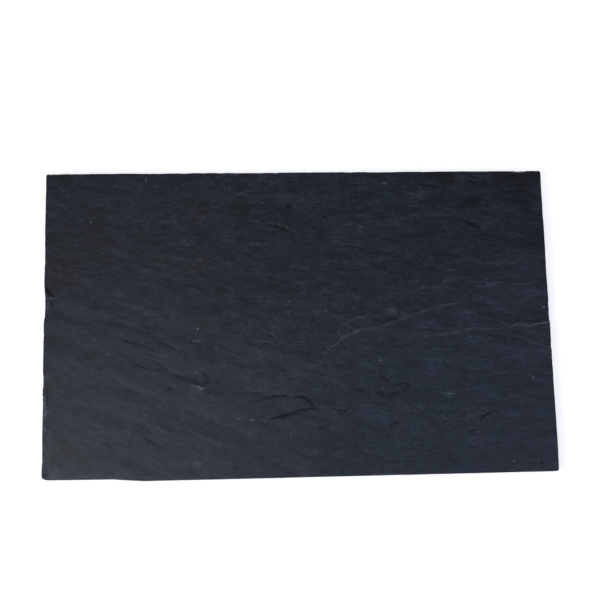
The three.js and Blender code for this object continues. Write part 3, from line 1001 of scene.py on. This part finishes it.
def sawn_group(grit):
    """Sawn slate: a dusty grey with faint layers, of a given length and spacing in millimetres."""
    tree, graph, given = shader_group(
        "SawnSlate",
        {"Colour": "Color", "Layer Length": "Float", "Layer Spacing": "Float"},
        {"Colour": "Color", "Roughness": "Float", "Height": "Float"},
    )
    place = graph.place()
    x, y, z = graph.split(place)
    length, spacing = given["Layer Length"], given["Layer Spacing"]
    layer_place = graph.vector(
        graph.math("DIVIDE", x, length), graph.math("DIVIDE", y, length), graph.math("DIVIDE", z, spacing)
    )
    layers = graph.noise(layer_place, detail=4.0, roughness=0.65)
    cloud = graph.noise(graph.scaled(place, 1 / 30), detail=3.0)
    grain = graph.node("ShaderNodeGroup", {"Grain Size": 1.1}, node_tree=grit).outputs["Grit"]
    saw_place = graph.vector(graph.product(graph.total(x, y), 1 / 1.8), 0.0, graph.product(z, 1 / 60))
    saw_marks = graph.noise(saw_place)
    shade = graph.product(
        graph.linear(layers, 0.25, 0.75, 0.50, 1.50),
        graph.linear(saw_marks, 0.25, 0.75, 0.88, 1.12),
        graph.linear(cloud, 0.3, 0.7, 0.82, 1.18),
        graph.linear(grain, 0.25, 0.75, 0.85, 1.15),
    )
    tint = graph.scaled(given["Colour"], shade)
    roughness = graph.linear(cloud, 0.3, 0.7, 0.62, 0.75)
    height = graph.total(graph.product(layers, 0.6), graph.product(grain, 0.4))
    graph.node("NodeGroupOutput", {"Colour": tint, "Roughness": roughness, "Height": height})
    return tree


def sawn_material(finish, name, sawn, length, spacing):
    """A sawn face whose layers have a given length and spacing in millimetres."""
    material, graph = new_material(name)
    face = graph.node(
        "ShaderNodeGroup",
        {"Colour": opaque(finish.sawn_colour), "Layer Length": length, "Layer Spacing": spacing},
        node_tree=sawn,
    ).outputs
    slate_shader(graph, face["Colour"], face["Roughness"], face["Height"], 0.4)
    return material


def dress(slab, finish):
    """Assigns the riven, sawn and bedding finishes by where each face points."""
    grit = grit_group()
    sawn = sawn_group(grit)
    slab.data.materials.append(riven_material(finish, grit))
    slab.data.materials.append(sawn_material(finish, "sawn_slate", sawn, 60, 1.3))
    slab.data.materials.append(sawn_material(finish, "bedding_slate", sawn, 14, 30))
    for face in slab.data.polygons:
        if face.normal.z > RIVEN_TILT:
            face.material_index = 0
        elif face.normal.z < BEDDING_TILT:
            face.material_index = 2
        else:
            face.material_index = 1


def require_closed(obj):
    """Raises unless the mesh is closed and within the triangle limit."""
    bpy.ops.object.mode_set(mode="EDIT")
    select_rim()
    bpy.ops.object.mode_set(mode="OBJECT")
    open_edges = sum(edge.select for edge in obj.data.edges)
    triangles = sum(len(face.vertices) - 2 for face in obj.data.polygons)
    print("coping stone:", triangles, "triangles,", open_edges, "open edges")
    if open_edges or triangles >= TRIANGLE_LIMIT:
        raise RuntimeError(f"{obj.name} has {open_edges} open edges and {triangles} triangles")


class MESH_OT_coping_stone(bpy.types.Operator):
    """Builds the riven slate slab in place of its plain solid"""

    bl_idname = "mesh.coping_stone"
    bl_label = "Coping Stone"

    def execute(self, context):
        stone = context.scene.coping_stone
        slab = sawn_blank(stone)
        rive(slab, stone)
        require_closed(slab)
        dress(slab, context.scene.coping_slate)
        select_only(slab)
        bpy.ops.object.shade_smooth_by_angle(angle=math.radians(SMOOTH_ANGLE))
        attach(slab, "root")
        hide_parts(NODE)
        return {"FINISHED"}


def area_light(name, place, size, colour, power):
    bpy.ops.object.light_add(type="AREA", location=place)
    light = bpy.context.active_object
    light.name = name
    light.data.shape = "RECTANGLE"
    light.data.size, light.data.size_y = size
    light.data.energy = power
    light.data.color = colour
    light.rotation_euler = (-Vector(place)).to_track_quat("-Z", "Y").to_euler()


def floor_material(colour):
    material, graph = new_material("pale_floor")
    surface = graph.node("ShaderNodeBsdfPrincipled", {"Base Color": opaque(colour), "Roughness": 0.9})
    surface.inputs["Emission Color"].default_value = (1, 1, 1, 1)
    surface.inputs["Emission Strength"].default_value = FLOOR_GLOW
    graph.node("ShaderNodeOutputMaterial", {"Surface": surface.outputs[0]})
    return material


def studio_world(context):
    """A soft surround: bright at the horizon and dark overhead."""
    world = bpy.data.worlds.new("studio")
    world.use_nodes = True
    world.node_tree.nodes.clear()
    graph = Graph(world.node_tree)
    up = graph.split(graph.node("ShaderNodeTexCoord").outputs["Generated"])[2]
    level = graph.ramp(up, 0.0, 0.4, 0.85, 0.03)
    sky = graph.node("ShaderNodeBackground", {"Color": (1, 1, 1, 1), "Strength": level})
    graph.node("ShaderNodeOutputWorld", {"Surface": sky.outputs[0]})
    context.scene.world = world


class SCENE_OT_coping_stage(bpy.types.Operator):
    """Adds the floor, the lights and the camera"""

    bl_idname = "scene.coping_stage"
    bl_label = "Studio"

    def execute(self, context):
        stage = context.scene.coping_stage
        deselect()
        bpy.ops.mesh.primitive_plane_add(size=FLOOR_SIZE, location=(0, 0, LOW.z - FLOOR_GAP))
        floor = context.active_object
        floor.name = "floor"
        floor.data.materials.append(floor_material(stage.floor_colour))

        for light, power in zip(LIGHTS, (stage.key_power, stage.fill_power, stage.back_power)):
            area_light(*light, power)
        studio_world(context)

        bpy.ops.object.camera_add(location=stage.camera_place)
        camera = context.active_object
        camera.name = "camera"
        sight = (Vector(stage.camera_aim) - Vector(stage.camera_place)).to_track_quat("-Z", "Y")
        camera.rotation_euler = sight.to_euler()
        camera.rotation_euler.rotate_axis("Z", stage.camera_roll)
        camera.data.lens = stage.lens
        camera.data.sensor_width = 36.0
        context.scene.camera = camera
        context.scene.view_settings.view_transform = "Standard"
        return {"FINISHED"}


class VIEW3D_PT_coping_stone(bpy.types.Panel):
    """Lists the stone's settings and operators"""

    bl_idname = "VIEW3D_PT_coping_stone"
    bl_label = "Coping Stone"
    bl_space_type = "VIEW_3D"
    bl_region_type = "UI"
    bl_category = "Coping Stone"

    def draw(self, context):
        layout = self.layout
        for operator, settings in (
            (MESH_OT_coping_stone, (context.scene.coping_stone, context.scene.coping_slate)),
            (SCENE_OT_coping_stage, (context.scene.coping_stage,)),
        ):
            box = layout.box()
            box.operator(operator.bl_idname)
            for group in settings:
                for name in group.bl_rna.properties.keys():
                    if name not in {"rna_type", "name"}:
                        box.prop(group, name)


CLASSES = (
    CopingStoneSettings,
    SlateSettings,
    CopingStageSettings,
    MESH_OT_coping_stone,
    SCENE_OT_coping_stage,
    VIEW3D_PT_coping_stone,
)


def register():
    for cls in CLASSES:
        bpy.utils.register_class(cls)
    bpy.types.Scene.coping_stone = PointerProperty(type=CopingStoneSettings)
    bpy.types.Scene.coping_slate = PointerProperty(type=SlateSettings)
    bpy.types.Scene.coping_stage = PointerProperty(type=CopingStageSettings)


def unregister():
    del bpy.types.Scene.coping_stage
    del bpy.types.Scene.coping_slate
    del bpy.types.Scene.coping_stone
    for cls in reversed(CLASSES):
        bpy.utils.unregister_class(cls)


def main():
    register()
    bpy.ops.mesh.coping_stone()
    bpy.ops.scene.coping_stage()


if __name__ == "__main__":
    main()
